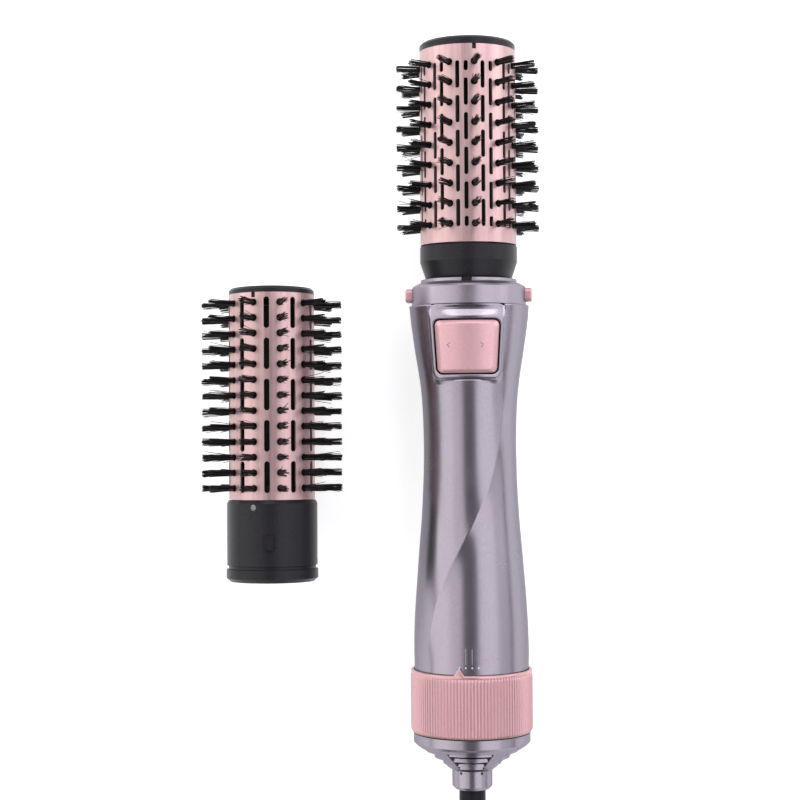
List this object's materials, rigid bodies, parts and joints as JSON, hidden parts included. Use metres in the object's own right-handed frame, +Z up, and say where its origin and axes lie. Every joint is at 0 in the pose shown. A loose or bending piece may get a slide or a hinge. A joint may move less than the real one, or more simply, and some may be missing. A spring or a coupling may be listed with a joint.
{
  "type": "hot air brush",
  "caption": "Corded hot air brush with a rotating bristled barrel, a ribbed selector ring and a rocker, with a slimmer spare brush head beside it.",
  "frame": {"origin": "centre of the footprint of the brush and its spare head on the surface they lie on", "axes": "+Y along the brush from the cord to the tip, +Z up from the surface, +X to the right of someone looking down at the rocker with the tip pointing away"},
  "size_m": [0.2087, 0.5264, 0.0615],
  "materials": {
    "grip": "satin mauve metallic lacquer on moulded plastic",
    "collar": "satin mauve metallic lacquer on moulded plastic",
    "rear_cover": "mauve metallic moulded plastic, louvred",
    "pink": "salmon pink moulded plastic, fine satin",
    "barrel": "rose anodised, satin",
    "black_plastic": "heat-resistant black plastic",
    "nylon": "black nylon bristle",
    "cord_rubber": "black flexible sheath",
    "plug_plastic": "moulded black plug",
    "pin_metal": "nickel-plated pins",
    "screw_steel": "dark plated steel",
    "spring_steel": "bright spring steel",
    "motor_can": "zinc-plated can",
    "white_plastic": "natural nylon moulding",
    "mica": "mica sheet, taken at the density of wood",
    "heater_wire": "oxidised resistance wire",
    "board": "green circuit board",
    "mesh": "woven nylon mesh",
    "bearing": "white acetal bearing ring"
  },
  "bodies": {
    "cord_end": {"swivel_core": "black_plastic", "strain_relief": "cord_rubber", "cord": "cord_rubber", "cord_coil": "cord_rubber", "plug_body": "plug_plastic", "plug_pins": "pin_metal"},
    "handle": {"front_shell": "grip", "rear_shell": "grip", "top_collar": "collar", "rear_cover": "rear_cover", "switch_bezel": "collar", "swivel_neck": "rear_cover", "inlet_filter": "mesh", "case_screws": "screw_steel", "latch_ring": "spring_steel", "motor_mount": "white_plastic", "fan_motor": "motor_can", "chassis": "white_plastic", "gear_motor": "motor_can", "gearbox": "white_plastic", "heat_shield": "motor_can", "heater_boards": "mica", "heater_wire": "heater_wire", "thermal_cutout": "motor_can", "control_board": "board", "rocker_switches": "black_plastic", "selector_switch": "black_plastic"},
    "rocker": {"rocker_button": "pink"},
    "release_left": {"release_button_left": "pink"},
    "release_right": {"release_button_right": "pink"},
    "selector": {"selector_ring": "pink"},
    "fan": {"fan_impeller": "white_plastic"},
    "drive": {"drive_spindle": "spring_steel"},
    "head": {"head_base": "black_plastic", "head_bearing": "bearing"},
    "barrel": {"barrel_tube": "barrel", "drive_hub": "black_plastic", "tip_cap": "black_plastic", "bristle_strip_01": "nylon", "bristle_strip_02": "nylon", "bristle_strip_03": "nylon", "bristle_strip_04": "nylon", "bristle_strip_05": "nylon", "bristle_strip_06": "nylon", "bristle_strip_07": "nylon", "bristle_strip_08": "nylon", "bristle_strip_09": "nylon", "bristle_strip_10": "nylon", "bristle_strip_11": "nylon", "bristle_strip_12": "nylon"},
    "spare_head": {"spare_head_base": "black_plastic", "spare_head_bearing": "bearing", "spare_base_screw": "screw_steel"},
    "spare_barrel": {"spare_barrel_tube": "barrel", "spare_drive_hub": "black_plastic", "spare_tip_cap": "black_plastic", "spare_bristle_strips": "nylon"}
  },
  "joints": [
    {"name": "cord_swivel", "type": "hinge", "parent": "cord_end", "child": "handle", "pos_m": [0.0409, -0.15462, 0.02487], "axis": [0, 0.9998, 0.0221], "continuous": true},
    {"name": "rotation_rocker", "type": "hinge", "parent": "handle", "child": "rocker", "pos_m": [0.03921, 0.02828, 0.0495], "axis": [0, 0.9998, 0.0221], "range_deg": [-5, 5], "stiffness_Nm_per_rad": 0.25},
    {"name": "release_left_press", "type": "slide", "parent": "handle", "child": "release_left", "axis": [0.9966, -0.0018, 0.0819], "range_m": [0, 0.0015], "stiffness_N_per_m": 1500, "deforming": ["latch_ring"]},
    {"name": "release_right_press", "type": "slide", "parent": "handle", "child": "release_right", "axis": [-0.9966, 0.0018, -0.0819], "range_m": [0, 0.0015], "stiffness_N_per_m": 1500, "deforming": ["latch_ring"]},
    {"name": "heat_selector", "type": "hinge", "parent": "handle", "child": "selector", "pos_m": [0.0409, -0.11813, 0.02567], "axis": [0, 0.9998, 0.0221], "range_deg": [0, 18.9]},
    {"name": "fan_spin", "type": "hinge", "parent": "handle", "child": "fan", "pos_m": [0.0409, -0.10464, 0.02597], "axis": [0, 0.9998, 0.0221], "continuous": true},
    {"name": "spindle_spin", "type": "hinge", "parent": "handle", "child": "drive", "pos_m": [0.0409, 0.02533, 0.02884], "axis": [0, 0.9998, 0.0221], "continuous": true},
    {"name": "head_release", "type": "slide", "parent": "handle", "child": "head", "axis": [0, 0.9998, 0.0221], "range_m": [0, 0.06], "deforming": ["latch_ring"]},
    {"name": "barrel_spin", "type": "hinge", "parent": "head", "child": "barrel", "pos_m": [0.0409, 0.10531, 0.03061], "axis": [0, 0.9998, 0.0221], "continuous": true},
    {"name": "spare_head_lift", "type": "slide", "parent": "cord_end", "child": "spare_head", "axis": [0, 0, 1], "range_m": [0, 0.1]},
    {"name": "spare_barrel_spin", "type": "hinge", "parent": "spare_head", "child": "spare_barrel", "pos_m": [-0.0415, -0.011, 0.02873], "axis": [0, 1, 0], "continuous": true}
  ],
  "couplings": [
    {"joint": "spindle_spin", "follows": "barrel_spin", "ratio": 1}
  ]
}
